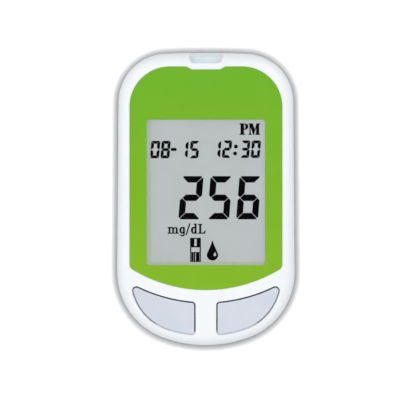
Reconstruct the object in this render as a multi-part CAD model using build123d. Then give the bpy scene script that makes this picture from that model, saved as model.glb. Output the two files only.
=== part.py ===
from build123d import *
from math import acos, atan2, cos, hypot, pi, sin, sqrt
import os

# Pocket blood glucose meter, millimetres.
# +X right, +Y towards the strip port, +Z out of the display.  The meter lies on its back on Z = 0.

# ---- case outline: two rounded ends joined by straight, slightly slanted sides
case_length = 91.0
top_half_width = 27.2
top_crown_radius = 265.0
top_corner_radius = 15.0
bottom_half_width = 27.6
bottom_crown_radius = 38.5
bottom_corner_radius = 21.6

# ---- case heights and walls
rest_rail_height = 0.4
rear_case_height = 9.6
side_wall = 1.8
back_wall = 1.8
face_wall = 2.2
front_edge_round = 3.0
rear_edge_round = 4.5
parting_bevel = 0.25
lip_height = 1.2
lip_wall = 0.8
lip_clearance = 0.1
rest_rail_width = 3.0
rest_rail_gap = 3.5
rest_rail_end_margin = 17.5
label_recess_width = 26.0
label_recess_depth = 0.3
label_recess_low_margin = 4.5
label_recess_end_margin = 6.7

# ---- lower end of the face: arcs about one centre, and a gently falling chin
chin_length = 17.2
chin_panel_gap = 1.9
chin_key_gap = 1.9
chin_fall = 0.84

# ---- coloured face panel in its recess
panel_side_margin = 3.45
panel_end_margin = 4.3
panel_corner_radius = 12.5
panel_sweep_radius = 44.3
panel_tip_radius = 1.9
panel_thickness = 0.6
panel_drop = 0.2
panel_clearance = 0.1
panel_notch_top = 12.2
panel_notch_bottom = 8.8
panel_notch_depth = 0.94
panel_notch_round = 1.6

# ---- display window and lens
window_side_margin = 5.3
window_top_margin = 16.48
window_low_margin = 7.7
window_corner_radius = 0.9
lens_overlap = 1.4
lens_thickness = 0.8
lens_clearance = 0.1

# ---- liquid crystal display
gasket_thickness = 0.5
gasket_left_width = 1.2
gasket_bottom_width = 1.0
gasket_glass_margin = 0.2
gasket_hidden_margin = 0.2
film_thickness = 0.2
glass_thickness = 0.7
glass_side_margin = 0.95
glass_end_margin = 1.9
film_margin = 0.3
contact_ledge = 2.2
zebra_width = 1.6
zebra_end_margin = 1.5
frame_wall = 0.6
frame_fit = 0.1
frame_floor = 0.8
frame_rail = 3.0
frame_peg_radius = 0.6
frame_peg_inset = 1.5

# ---- main board
board_thickness = 1.2
board_gap = 0.4
board_edge_gap = 1.4
board_hole_gap = 0.3

# ---- keys
key_rib_half_width = 3.2
key_field_side_margin = 4.15
key_field_end_margin = 2.8
key_field_crown_flattening = 1.15
key_field_corner_inset = 4.65
key_corner_radius = 1.2
key_tip_radius = 1.4
key_gap = 0.35
key_flange_width = 0.4
key_flange_thickness = 1.0
key_edge_round = 0.3
key_travel = 0.8
plunger_inset = 8.2
plunger_radius = 2.2
pill_radius = 1.6
pill_thickness = 0.35
pill_overtravel = 0.05
pad_radius = 2.4
pad_gap = 0.5
pad_thickness = 0.1
dome_base_radius = 3.8
dome_rim_width = 0.7
dome_skin = 0.4
mat_thickness = 0.4
mat_hole_gap = 0.1
mat_half_width = 19.0
mat_length = 8.6
mat_edge_margin = 0.8

# ---- strip port, connector and its spring contacts
port_width = 10.1
port_depth = 3.2
port_corner_radius = 1.4
port_bottom = 13.2
port_drop = 0.5
port_clearance = 0.06
port_flange_width = 1.0
port_flange_gap = 0.2
strip_slot_width = 7.0
strip_slot_height = 1.2
strip_slot_rise = 0.6
strip_slot_flare = 0.5
connector_width = 11.2
connector_length = 10.0
connector_roof = 1.0
connector_back = 2.4
connector_gap = 0.8
contact_count = 4
contact_pitch = 1.5
contact_width = 0.4
contact_thickness = 0.3
contact_groove_gap = 0.1
contact_nose = 0.3
contact_nose_length = 1.0
contact_front_margin = 1.5

# ---- battery bay, cells and spring contacts
cell_diameter = 10.5
cell_body_length = 43.7
cell_nub_diameter = 3.8
cell_nub_length = 0.8
cell_gap = 0.7
cell_edge_round = 0.5
cell_clearance = 0.3
bay_wall = 1.2
bay_roof = 1.0
bay_side_clearance = 0.55
bay_rib_width = 1.0
bay_rib_height = 2.2
spring_length = 5.4
spring_wire = 0.6
spring_radius = 3.0
spring_turns = 3
plate_thickness = 0.3
plate_width = 9.2
plate_height = 9.0
tail_width = 1.6
tail_slot_gap = 0.2

# ---- battery door and its guides
door_side_margin = 1.6
door_thickness = 1.6
door_gap = 0.15
door_end_height = 8.2
door_tongue_width = 0.9
door_tongue_thickness = 0.75
door_tongue_setback = 0.75
guide_width = 1.6
guide_height = 1.4
door_run_out = 2.0
grip_count = 6
grip_pitch = 1.6
grip_width = 0.7
grip_depth = 0.35
grip_length = 13.0
grip_end_margin = 12.5

# ---- screws
top_screw_side_margin = 8.2
top_screw_end_margin = 12.1
low_screw_end_margin = 25.5
case_screw_radius = 1.1
case_screw_length = 10.0
case_screw_head_radius = 2.0
case_screw_head_height = 1.5
case_screw_seat = 5.5
case_boss_wall = 1.1
case_tube_wall = 1.0
top_board_screw_end_margin = 14.5
low_board_screw_gap = 2.0
board_screw_radius = 0.8
board_screw_length = 3.6
board_screw_head_radius = 1.6
board_screw_head_height = 0.8
board_boss_wall = 1.1
board_boss_gap = 0.45
screw_clearance = 0.05
screw_hole_gap = 0.3
screw_head_round = 0.4
screw_head_gap = 0.25
screw_tip_gap = 0.5
cross_recess_width = 0.5
cross_recess_length = 2.2
cross_recess_depth = 0.6
board_recess_length = 1.7
board_recess_depth = 0.4

# ---- electronics under and on the board
controller_y = 4.0
controller_size = 6.4
controller_height = 1.2
controller_pins = 7
front_end_x = 5.8
front_end_width = 3.9
front_end_length = 4.9
front_end_height = 1.4
front_end_pins = 4
memory_y = -8.0
memory_width = 3.9
memory_length = 4.9
memory_height = 1.4
memory_pins = 4
pin_pitch = 0.8
pin_width = 0.35
pin_thickness = 0.45
pin_root = 0.3
pin_length = 0.9
pin_stand_off = 0.1
crystal_y = 3.0
crystal_length = 10.2
crystal_width = 4.4
crystal_height = 3.4
crystal_edge_round = 0.4
beeper_x = -4.2
beeper_door_gap = 2.2
beeper_radius = 5.0
beeper_height = 3.0
beeper_port_radius = 0.9
beeper_port_depth = 1.5
capacitor_y = -9.0
capacitor_radius = 2.5
capacitor_height = 5.0
capacitor_base = 5.2
capacitor_base_height = 0.7
thermistor_gap = 3.0
thermistor_length = 2.2
thermistor_width = 1.3
thermistor_height = 0.9
chip_length = 1.6
chip_width = 0.8
chip_height = 0.6
chip_row_y = 12.0
chip_row_pitch = 2.2
chip_row_count = 6

# ---- heights that follow from the sizes above, from the back to the face
back_plane = rest_rail_height
parting = back_plane + rear_case_height
door_inner = back_plane + door_thickness
cell_axis_z = door_inner + cell_clearance + cell_diameter / 2
bay_ceiling = cell_axis_z + cell_diameter / 2 + cell_clearance
board_bottom = bay_ceiling + bay_roof + board_gap
board_top = board_bottom + board_thickness
lcd_bottom = board_top + frame_floor
rear_film_top = lcd_bottom + film_thickness
rear_glass_top = rear_film_top + glass_thickness
front_glass_top = rear_glass_top + glass_thickness
lcd_top = front_glass_top + film_thickness
ceiling = lcd_top + gasket_thickness
face_plane = ceiling + face_wall
recess_floor = face_plane - panel_drop - panel_thickness
lens_floor = recess_floor - lens_thickness
slot_floor = board_top + strip_slot_rise
slot_roof = slot_floor + strip_slot_height
pad_top = board_top + pad_thickness
pill_bottom = pad_top + pill_overtravel + key_travel
pill_top = pill_bottom + pill_thickness
dome_top = pill_top + dome_skin
flange_bottom = ceiling - key_flange_thickness

# ---- places that follow from the sizes above, on the face
case_end = case_length / 2
waist = min(top_half_width, bottom_half_width)
panel_half_width = waist - panel_side_margin
panel_top = case_end - panel_end_margin
panel_bottom = chin_length - case_end
sweep_centre_y = panel_bottom + panel_sweep_radius
chin_start_radius = panel_sweep_radius + chin_panel_gap
chin_end_radius = sweep_centre_y + case_end
chin_slope = chin_fall / (chin_end_radius - chin_start_radius)
window_right = panel_half_width - window_side_margin
window_left = -window_right
window_top = panel_top - window_top_margin
window_bottom = panel_bottom + window_low_margin
glass_half = window_right + glass_side_margin
glass_low = window_bottom - glass_end_margin
glass_high = window_top + glass_end_margin
rear_glass_high = glass_high - contact_ledge
zebra_y = glass_high - contact_ledge / 2
frame_side = glass_half + frame_fit + frame_wall
key_opening_radius = chin_start_radius + chin_key_gap
key_opening_end = case_end - key_field_end_margin
key_field_half_width = bottom_half_width - key_field_side_margin
key_field_crown_radius = bottom_crown_radius + key_field_crown_flattening
key_field_corner_radius = bottom_corner_radius - key_field_corner_inset
key_centre_x = key_rib_half_width + plunger_inset
key_high_y = sweep_centre_y - sqrt(key_opening_radius ** 2 - key_centre_x ** 2)
key_low_y = key_field_crown_radius - key_opening_end
key_low_y = key_low_y - sqrt(key_field_crown_radius ** 2 - key_centre_x ** 2)
key_centre_y = (key_high_y + key_low_y) / 2
port_inner_y = case_end - port_depth
connector_front_y = port_inner_y - connector_gap
connector_back_y = connector_front_y - connector_length

# ---- places that follow from the sizes above, in the battery bay and on the back
cell_spacing = cell_diameter + cell_gap
bay_half_width = (cell_spacing + cell_diameter) / 2 + bay_side_clearance
bay_side = bay_half_width + bay_wall
flat_back_radius = bottom_crown_radius - rear_edge_round
bay_low_y = bottom_crown_radius - case_end - sqrt(flat_back_radius ** 2 - bay_side ** 2)
bay_end_y = bay_low_y + bay_wall
bay_length = cell_body_length + cell_nub_length + spring_length + 2 * plate_thickness
bay_top_y = bay_end_y + bay_length
door_top_y = bay_top_y + bay_wall
door_half_width = bay_half_width + door_side_margin
door_travel = door_top_y + case_end + door_run_out
grip_centre_y = grip_end_margin + (grip_count - 1) / 2 * grip_pitch - case_end
rest_rail_offset = door_half_width + rest_rail_gap + rest_rail_width / 2
rest_rail_length = case_length - 2 * rest_rail_end_margin
label_low_y = door_top_y + label_recess_low_margin
label_high_y = case_end - label_recess_end_margin

# ---- places that follow from the sizes above, for screws and electronics
case_boss_radius = case_screw_radius + screw_clearance + case_boss_wall
board_boss_radius = board_screw_radius + screw_clearance + board_boss_wall
screw_recess_radius = case_screw_head_radius + screw_head_gap
board_screw_sweep = key_opening_radius - key_flange_width - board_boss_gap - board_boss_radius
top_screw_x = top_half_width - top_screw_side_margin
top_screw_y = case_end - top_screw_end_margin
low_screw_x = (frame_side + bottom_half_width - side_wall) / 2
low_screw_y = low_screw_end_margin - case_end
top_board_screw_x = (connector_width / 2 + top_screw_x) / 2
top_board_screw_y = case_end - top_board_screw_end_margin
low_board_screw_x = bay_side + board_screw_head_radius + low_board_screw_gap
low_board_screw_y = sweep_centre_y - sqrt(board_screw_sweep ** 2 - low_board_screw_x ** 2)
side_part_x = (bay_side + waist - side_wall - board_edge_gap) / 2
front_end_y = (connector_front_y + connector_back_y) / 2
beeper_y = door_top_y + beeper_door_gap + beeper_radius
thermistor_x = (connector_width + thermistor_width) / 2 + thermistor_gap
outside = 10.0


# ---- small construction helpers
def block(x0, x1, y0, y1, z0, z1):
    """Box between two opposite corners."""
    centre = Pos((x0 + x1) / 2, (y0 + y1) / 2, (z0 + z1) / 2)
    return centre * Box(x1 - x0, y1 - y0, z1 - z0)


def post(x, y, radius, z0, z1):
    """Upright cylinder between two heights."""
    upright = Cylinder(radius, z1 - z0, align=(Align.CENTER, Align.CENTER, Align.MIN))
    return Pos(x, y, z0) * upright


def slab(face, z0, z1):
    """A flat outline given a thickness between two heights."""
    return Pos(0, 0, z0) * extrude(face, z1 - z0)


def both_sides(x, y):
    """A place on the right and its mirror image on the left."""
    return [(x, y), (-x, y)]


def case_screw_places():
    """Places of the four screws that close the case."""
    return both_sides(top_screw_x, top_screw_y) + both_sides(low_screw_x, low_screw_y)


def board_screw_places():
    """Places of the four screws that hold the board."""
    high = both_sides(top_board_screw_x, top_board_screw_y)
    return high + both_sides(low_board_screw_x, low_board_screw_y)


def arc_about(centre, radius, start, end):
    """Arc about a centre between two angles."""
    angles = (start, (start + end) / 2, end)
    points = [(centre[0] + radius * cos(a), centre[1] + radius * sin(a)) for a in angles]
    return ThreePointArc(*points)


def mirrored(shape):
    """The same shape on the other side of the meter's centre plane."""
    return mirror(shape, about=Plane.YZ)


def mirror_pair(shape):
    """A shape together with its mirror image."""
    return shape + mirrored(shape)


# ---- outlines
def corner_centre(half_width, end, crown, corner):
    """Centre of the corner arc that touches the side and runs into the end's crown arc."""
    across = half_width - corner
    along = end - crown + sqrt((crown - corner) ** 2 - across ** 2)
    return across, along


def case_outline(inset=0.0):
    """Edge line of the case, moved inwards by inset: four corner arcs, two crowns, two sides."""
    top = corner_centre(top_half_width, case_end, top_crown_radius, top_corner_radius)
    low_x, low_y = corner_centre(
        bottom_half_width, case_end, bottom_crown_radius, bottom_corner_radius
    )
    low = (low_x, -low_y)
    top_crown = (0, case_end - top_crown_radius)
    low_crown = (0, bottom_crown_radius - case_end)
    rise = hypot(top[0] - low[0], top[1] - low[1])
    lean = atan2(top[1] - low[1], top[0] - low[0])
    side = lean - acos((bottom_corner_radius - top_corner_radius) / rise)
    top_turn = atan2(top[1] - top_crown[1], top[0])
    low_turn = atan2(low[1] - low_crown[1], low[0])
    top_corner = arc_about(top, top_corner_radius - inset, top_turn, side)
    low_corner = arc_about(low, bottom_corner_radius - inset, side, low_turn)
    edges = [
        arc_about(top_crown, top_crown_radius - inset, pi - top_turn, top_turn),
        top_corner,
        Line(top_corner @ 1, low_corner @ 0),
        low_corner,
        arc_about(low_crown, bottom_crown_radius - inset, low_turn, -pi - low_turn),
        mirrored(top_corner),
        mirrored(Line(top_corner @ 1, low_corner @ 0)),
        mirrored(low_corner),
    ]
    return make_face(edges)


def key_field():
    """Lower end of the face inside which both key openings lie."""
    centre_x, centre_y = corner_centre(
        key_field_half_width, key_opening_end, key_field_crown_radius, key_field_corner_radius
    )
    crown_y = key_field_crown_radius - key_opening_end
    turn = atan2(-centre_y - crown_y, centre_x)
    corner = arc_about((centre_x, -centre_y), key_field_corner_radius, 0, turn)
    upper_right = (key_field_half_width, sweep_centre_y)
    side = Line(upper_right, corner @ 0)
    edges = [
        side,
        corner,
        arc_about((0, crown_y), key_field_crown_radius, turn, -pi - turn),
        mirrored(corner),
        mirrored(side),
        Line(upper_right, (-key_field_half_width, sweep_centre_y)),
    ]
    return make_face(edges)


def rounded_corners(outline, radius):
    """Outline with its outer corners rounded, also where an edge is shorter than the rounding."""
    return offset(offset(outline, amount=-radius), amount=radius)


def key_opening_outline():
    """Right-hand key opening: top arc, straight inner edge, outer edge along the case's end."""
    sweep = Pos(0, sweep_centre_y) * Circle(key_opening_radius)
    kept_side = Pos(key_rib_half_width + case_length / 2, 0) * Rectangle(case_length, 2 * case_length)
    outline = (key_field() - sweep) & kept_side
    outer_part = Pos(key_centre_x + case_length / 2, 0) * Rectangle(case_length, 2 * case_length)
    blunt = rounded_corners(outline, key_tip_radius) & outer_part
    return (rounded_corners(outline, key_corner_radius) - outer_part) + blunt


def key_outline(clearance):
    """Right-hand key, smaller than its opening by the clearance all round."""
    return offset(key_opening_outline(), amount=-clearance)


def panel_outline(grow=0.0):
    """Face panel: round upper corners, swept lower edge and a shallow notch below the port."""
    top = panel_top + grow
    half = panel_half_width + grow
    sheet = Pos(0, top - case_length / 2) * Rectangle(2 * half, case_length)
    above_sweep = Pos(0, sweep_centre_y + case_length / 2) * Rectangle(case_length, case_length)
    sheet = sheet & (Pos(0, sweep_centre_y) * Circle(panel_sweep_radius + grow) + above_sweep)
    upper = sheet.vertices().sort_by(Axis.Y)[-2:]
    sheet = fillet(upper, panel_corner_radius + grow)
    tips = sheet.vertices().group_by(Axis.Y)[0]
    sheet = fillet(tips, panel_tip_radius + grow)
    notch_floor = top - panel_notch_depth
    high = panel_notch_top / 2 - grow
    low = panel_notch_bottom / 2 - grow
    notch = Polygon(
        (-high, top), (-low, notch_floor), (low, notch_floor), (high, top), align=None
    )
    sheet = sheet - notch
    notch_corners = []
    for vertex in sheet.vertices():
        inside = abs(vertex.X) < high + panel_clearance
        if inside and vertex.Y > notch_floor - panel_clearance:
            notch_corners.append(vertex)
    return fillet(notch_corners, panel_notch_round)


def window_outline(grow=0.0):
    """Display window, or its outline grown all round."""
    width = window_right - window_left + 2 * grow
    length = window_top - window_bottom + 2 * grow
    sheet = RectangleRounded(width, length, window_corner_radius + grow)
    return Pos(0, (window_bottom + window_top) / 2) * sheet


def port_outline(clearance=0.0):
    """Strip port seen from the front: open at the end, rounded at its two inner corners."""
    width = port_width - 2 * clearance
    inner = case_end - port_depth + clearance
    shape = Pos(0, inner + outside) * Rectangle(width, 2 * outside)
    corners = shape.vertices().sort_by(Axis.Y)[:2]
    return fillet(corners, port_corner_radius)


# ---- outer forms shared by the two case halves, the keys, the port piece and the door
def chin_cutter(drop=0.0):
    """Everything above the falling chin, a flat cone about the sweep centre."""
    far = case_length
    fall = (far - chin_start_radius) * chin_slope
    top = face_plane - drop
    profile = Plane.XZ * Polygon(
        (chin_start_radius, top),
        (far, top - fall),
        (far, top + outside),
        (chin_start_radius, top + outside),
        align=None,
    )
    return Pos(0, sweep_centre_y, 0) * revolve(profile, Axis.Z)


def front_form(inset=0.0):
    """Outer form of the front case with its chin and rounded edge, or the same moved inwards."""
    form = slab(case_outline(inset), parting, face_plane - inset) - chin_cutter(inset)
    middle = (parting + face_plane) / 2
    rim = []
    for edge in form.edges():
        crease = edge.geom_type == GeomType.CIRCLE and abs(edge.radius - chin_start_radius) < side_wall
        if edge.bounding_box().min.Z > middle and not crease:
            rim.append(edge)
    return fillet(rim, front_edge_round - inset)


def rear_form(inset=0.0):
    """Outer form of the rear case, or the same form moved inwards."""
    form = slab(case_outline(inset), back_plane + inset, parting)
    rim = form.edges().group_by(Axis.Z)[0]
    return fillet(rim, rear_edge_round - inset)


# ---- casings
def front_case():
    """Upper casing: rim, panel recess, window ledge, key openings, port notch, screw bosses."""
    body = front_form()
    body = chamfer(body.edges().group_by(Axis.Z)[0], parting_bevel)
    body -= slab(case_outline(side_wall), parting, ceiling)
    lip_inset = side_wall - lip_wall - lip_clearance
    body -= slab(case_outline(lip_inset), parting, parting + lip_height + lip_clearance)
    body -= slab(panel_outline(panel_clearance), recess_floor, face_plane + outside)
    body -= slab(window_outline(lens_overlap + lens_clearance), lens_floor, face_plane)
    body -= slab(window_outline(), ceiling - outside, face_plane)
    body -= mirror_pair(slab(key_opening_outline(), ceiling - outside, face_plane + outside))
    body -= slab(port_outline(), port_bottom, face_plane + outside)
    for place in case_screw_places():
        tip = case_screw_seat + case_screw_length + screw_tip_gap
        body += post(*place, case_boss_radius, parting, ceiling)
        body -= post(*place, case_screw_radius + screw_clearance, parting, tip)
    for place in board_screw_places():
        tip = board_bottom + board_screw_length + screw_tip_gap
        body += post(*place, board_boss_radius, board_top, ceiling)
        body -= post(*place, board_screw_radius + screw_clearance, board_top, tip)
    return body


def rear_case():
    """Lower casing: back shell, joint lip, battery bay, door guides, screw tubes, rest rails."""
    form = rear_form()
    hollow = slab(case_outline(side_wall), back_plane + back_wall, parting)
    hollow = fillet(hollow.edges().group_by(Axis.Z)[0], rear_edge_round - side_wall)
    shell = chamfer(form.edges().group_by(Axis.Z)[-1], parting_bevel) - hollow
    lip = slab(case_outline(side_wall - lip_wall), parting - lip_height, parting + lip_height)
    shell += lip - slab(case_outline(side_wall), parting - lip_height, parting + lip_height)

    fittings = block(
        -bay_side, bay_side, bay_low_y, door_top_y, back_plane + back_wall, bay_ceiling + bay_roof
    )
    groove_top = back_plane + door_tongue_setback + door_tongue_thickness + door_gap
    groove_side = door_half_width + door_tongue_width + door_gap
    guide_side = groove_side + guide_width
    guide_top = groove_top + guide_height
    guides = block(-guide_side, guide_side, bay_low_y, door_top_y, groove_top, guide_top)
    guides = guides & slab(case_outline(side_wall / 2), groove_top, guide_top)
    fittings += guides
    tube_radius = screw_recess_radius + case_tube_wall
    for place in case_screw_places():
        tube = post(*place, tube_radius, back_plane + back_wall / 2, parting)
        fittings += tube & slab(case_outline(side_wall / 2), back_plane, parting)
    low_fittings = fittings & (form + slab(case_outline(side_wall), parting, face_plane))
    body = shell + low_fittings
    for x in (-rest_rail_offset, rest_rail_offset):
        rail = SlotOverall(rest_rail_length, rest_rail_width, rotation=90)
        body += slab(Pos(x, 0) * rail, 0, back_plane + back_wall / 2)

    body -= block(
        -bay_half_width, bay_half_width, bay_end_y, bay_top_y, -outside, bay_ceiling
    )
    rib = bay_rib_width / 2
    rib_low_y = bay_end_y + plate_thickness + cell_clearance
    rib_high_y = bay_top_y - plate_thickness - cell_clearance
    body += block(-rib, rib, rib_low_y, rib_high_y, bay_ceiling - bay_rib_height, bay_ceiling)
    opening_side = door_half_width + door_gap
    end = -case_end - outside
    opening_top = door_inner + door_gap
    body -= block(-opening_side, opening_side, end, door_top_y + door_gap, -outside, opening_top)
    end_top = back_plane + door_end_height + door_gap
    body -= block(-opening_side, opening_side, end, bay_low_y, -outside, end_top)
    groove_bottom = back_plane + door_tongue_setback - door_gap
    body -= block(
        -groove_side, groove_side, end, door_top_y + door_gap, groove_bottom, groove_top
    )
    for place in case_screw_places():
        body -= post(*place, screw_recess_radius, -outside, case_screw_seat)
        body -= post(*place, case_screw_radius + screw_hole_gap, case_screw_seat, parting)
    slot_half = tail_width / 2 + tail_slot_gap
    for x in (-cell_spacing / 2, cell_spacing / 2):
        slot_end = bay_end_y + plate_thickness + tail_slot_gap
        body -= block(
            x - slot_half, x + slot_half, bay_end_y, slot_end, bay_ceiling, board_bottom
        )
    label = RectangleRounded(label_recess_width, label_high_y - label_low_y, bay_wall)
    label = Pos(0, (label_low_y + label_high_y) / 2) * label
    return body - slab(label, -outside, back_plane + label_recess_depth)


def battery_door():
    """Sliding door: a strip of the back and lower end, with tongues along both sides."""
    form = rear_form()
    shell = form - rear_form(door_thickness)
    top = back_plane + door_end_height
    zone = block(-door_half_width, door_half_width, -case_end - outside, door_top_y, 0, top)
    tongue_low = back_plane + door_tongue_setback
    tongue_high = tongue_low + door_tongue_thickness
    tongue_side = door_half_width + door_tongue_width
    tongues = block(
        -tongue_side, tongue_side, -case_end - outside, door_top_y, tongue_low, tongue_high
    )
    cavity = rear_form(door_thickness) & block(
        -door_half_width, door_half_width, -case_end, case_end, 0, parting
    )
    body = (shell & zone) + ((tongues & form) - cavity)
    for index in range(grip_count):
        y = grip_centre_y + (index - (grip_count - 1) / 2) * grip_pitch
        groove = SlotOverall(grip_length, grip_width)
        body -= slab(Pos(0, y) * groove, back_plane - outside, back_plane + grip_depth)
    return body


# ---- face and display
def face_panel():
    """Coloured front sheet with the display window cut out."""
    sheet = panel_outline() - window_outline()
    return slab(sheet, recess_floor, recess_floor + panel_thickness)


def window_lens():
    """Clear lens held under the margins of the face panel."""
    return slab(window_outline(lens_overlap), lens_floor, recess_floor)


def sheet_between(x0, x1, y0, y1, z0, thickness):
    """Thin rectangular layer."""
    return block(x0, x1, y0, y1, z0, z0 + thickness)


def display_gasket():
    """Foam frame between the display and the window ledge; it shows at two edges of the window."""
    outer = glass_half - gasket_glass_margin
    low = glass_low + gasket_glass_margin
    high = glass_high - gasket_glass_margin
    ring = block(-outer, outer, low, high, lcd_top, ceiling)
    left = window_left + gasket_left_width
    right = window_right + gasket_hidden_margin
    bottom = window_bottom + gasket_bottom_width
    top = window_top + gasket_hidden_margin
    return ring - block(left, right, bottom, top, lcd_top, ceiling)


def lcd_frame():
    """Tray that carries the display on the board, with a slot for the zebra strip and pegs."""
    pocket_side = glass_half + frame_fit
    pocket_low = glass_low - frame_fit
    pocket_high = glass_high + frame_fit
    body = block(
        -frame_side, frame_side, pocket_low - frame_wall, pocket_high + frame_wall,
        board_top, front_glass_top
    )
    body -= block(
        -pocket_side, pocket_side, pocket_low, pocket_high, lcd_bottom, front_glass_top
    )
    rail_side = pocket_side - frame_rail
    body -= block(
        -rail_side, rail_side, pocket_low + frame_rail, rear_glass_high - frame_rail,
        board_top, lcd_bottom
    )
    zebra_side = glass_half - zebra_end_margin + frame_fit
    zebra_half = zebra_width / 2 + frame_fit
    body -= block(
        -zebra_side, zebra_side, zebra_y - zebra_half, zebra_y + zebra_half, board_top, lcd_bottom
    )
    for place in frame_pegs():
        body += post(*place, frame_peg_radius, board_bottom, board_top)
    return body


def frame_pegs():
    """Places of the four pegs that locate the display frame in the board."""
    x = glass_half - frame_peg_inset
    low = both_sides(x, glass_low + frame_peg_inset)
    return low + both_sides(x, rear_glass_high - frame_peg_inset)


def zebra_connector():
    """Elastomer strip between the board and the contact ledge of the front glass."""
    side = glass_half - zebra_end_margin
    half = zebra_width / 2
    return block(-side, side, zebra_y - half, zebra_y + half, board_top, rear_glass_top)


# ---- main board and what is soldered to it
def main_board():
    """Circuit board with clearance holes for bosses, screws and the display frame's pegs."""
    board = slab(case_outline(side_wall + board_edge_gap), board_bottom, board_top)
    for place in case_screw_places():
        board -= post(*place, case_boss_radius + board_hole_gap, board_bottom, board_top)
    for place in board_screw_places():
        board -= post(*place, board_screw_radius + screw_clearance, board_bottom, board_top)
    for place in frame_pegs():
        board -= post(*place, frame_peg_radius + frame_fit, board_bottom, board_top)
    return board


def chip(x, y, width, length, height, pins, four_sides):
    """Packaged chip under the board with rows of pins on two or four sides."""
    top = board_bottom - pin_stand_off
    body = block(x - width / 2, x + width / 2, y - length / 2, y + length / 2, top - height, top)
    foot = board_bottom - pin_thickness
    for index in range(pins):
        step = (index - (pins - 1) / 2) * pin_pitch
        half = pin_width / 2
        for side in (-1, 1):
            near = side * (width / 2 - pin_root)
            far = side * (width / 2 + pin_length)
            row_x = sorted((x + near, x + far))
            body += block(row_x[0], row_x[1], y + step - half, y + step + half, foot, board_bottom)
            if four_sides:
                near = side * (length / 2 - pin_root)
                far = side * (length / 2 + pin_length)
                row_y = sorted((y + near, y + far))
                body += block(
                    x + step - half, x + step + half, row_y[0], row_y[1], foot, board_bottom
                )
    return body


def crystal():
    """Metal-canned quartz crystal lying along the board's edge."""
    can = Pos(-side_part_x, crystal_y) * SlotOverall(crystal_length, crystal_width, rotation=90)
    body = slab(can, board_bottom - crystal_height, board_bottom)
    return fillet(body.edges().group_by(Axis.Z)[0], crystal_edge_round)


def beeper():
    """Round piezo beeper with its sound port."""
    bottom = board_bottom - beeper_height
    body = post(beeper_x, beeper_y, beeper_radius, bottom, board_bottom)
    port = post(beeper_x, beeper_y, beeper_port_radius, bottom, bottom + beeper_port_depth)
    return body - port


def supply_capacitor():
    """Upright electrolytic capacitor on its square base."""
    x = side_part_x
    y = capacitor_y
    half = capacitor_base / 2
    base_bottom = board_bottom - capacitor_base_height
    base = block(x - half, x + half, y - half, y + half, base_bottom, board_bottom)
    return base + post(x, y, capacitor_radius, base_bottom - capacitor_height, base_bottom)


def thermistor():
    """Temperature sensor on the board beside the strip connector."""
    x = thermistor_x
    y = front_end_y
    half_width = thermistor_width / 2
    half_length = thermistor_length / 2
    top = board_top + thermistor_height
    return block(x - half_width, x + half_width, y - half_length, y + half_length, board_top, top)


def chip_row(x):
    """Row of small surface-mounted parts under the board, along its long side."""
    row = Part()
    half_x = chip_length / 2
    half_y = chip_width / 2
    bottom = board_bottom - chip_height
    for index in range(chip_row_count):
        y = chip_row_y + index * chip_row_pitch
        row += block(x - half_x, x + half_x, y - half_y, y + half_y, bottom, board_bottom)
    return row


# ---- keys: hard caps on rubber domes
def right_button():
    """Key cap flush with the chin, with a flange that holds it under the face and a plunger."""
    cap = slab(key_outline(key_gap), flange_bottom, face_plane) - chin_cutter()
    top_edges = []
    for edge in cap.edges():
        if edge.bounding_box().min.Z > (ceiling + face_plane) / 2:
            top_edges.append(edge)
    cap = fillet(top_edges, key_edge_round)
    cap += slab(key_outline(-key_flange_width), flange_bottom, ceiling)
    return cap + post(key_centre_x, key_centre_y, plunger_radius, dome_top, flange_bottom)


def right_dome():
    """Rubber dome that springs the key: rim on the board, sloping skin, flat crown."""
    foot = dome_base_radius - dome_rim_width
    crown = plunger_radius + dome_skin
    shoulder = board_top + mat_thickness
    half_profile = Plane.XZ * Polygon(
        (foot, board_top),
        (dome_base_radius, board_top),
        (dome_base_radius, shoulder),
        (crown, dome_top),
        (0, dome_top),
        (0, pill_top),
        (plunger_radius, pill_top),
        (foot, shoulder),
        align=None,
    )
    return Pos(key_centre_x, key_centre_y) * revolve(half_profile, Axis.Z)


def right_contact_pill():
    """Conductive pill under the dome's crown."""
    return post(key_centre_x, key_centre_y, pill_radius, pill_bottom, pill_top)


def keypad_mat():
    """Rubber sheet round both domes."""
    sheet = Pos(0, key_centre_y) * Rectangle(2 * mat_half_width, mat_length)
    sheet = sheet & case_outline(side_wall + board_edge_gap + mat_edge_margin)
    top = board_top + mat_thickness
    mat = slab(sheet, board_top, top)
    hole = post(key_centre_x, key_centre_y, dome_base_radius + mat_hole_gap, board_top, top)
    return mat - mirror_pair(hole)


def key_pads():
    """Two half-round contact pads on the board under each key."""
    pads = post(key_centre_x, key_centre_y, pad_radius, board_top, pad_top)
    slit = block(
        key_centre_x - pad_gap / 2, key_centre_x + pad_gap / 2,
        key_centre_y - pad_radius, key_centre_y + pad_radius, board_top, pad_top
    )
    return mirror_pair(pads - slit)


# ---- strip port
def strip_port_bezel():
    """Translucent port piece in the case's upper end, with the flared slot for the test strip."""
    low = port_bottom + port_clearance
    body = slab(port_outline(port_clearance), low, face_plane - port_drop)
    body = body & front_form(port_clearance)
    side = port_width / 2 + port_flange_width
    flange_back = port_inner_y + port_clearance
    flange_front = case_end - side_wall - port_flange_gap
    body += block(-side, side, flange_back, flange_front, low, ceiling - port_clearance)
    half = strip_slot_width / 2
    body -= block(-half, half, port_inner_y, case_end + outside, slot_floor, slot_roof)
    middle = (slot_floor + slot_roof) / 2
    mouth = Plane(origin=(0, case_end, middle), x_dir=(1, 0, 0), z_dir=(0, -1, 0))
    throat = mouth.offset(2 * strip_slot_flare)
    wide = Rectangle(
        strip_slot_width + 2 * strip_slot_flare, strip_slot_height + 2 * strip_slot_flare
    )
    narrow = Rectangle(strip_slot_width, strip_slot_height)
    return body - loft([(mouth * wide).face(), (throat * narrow).face()])


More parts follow.
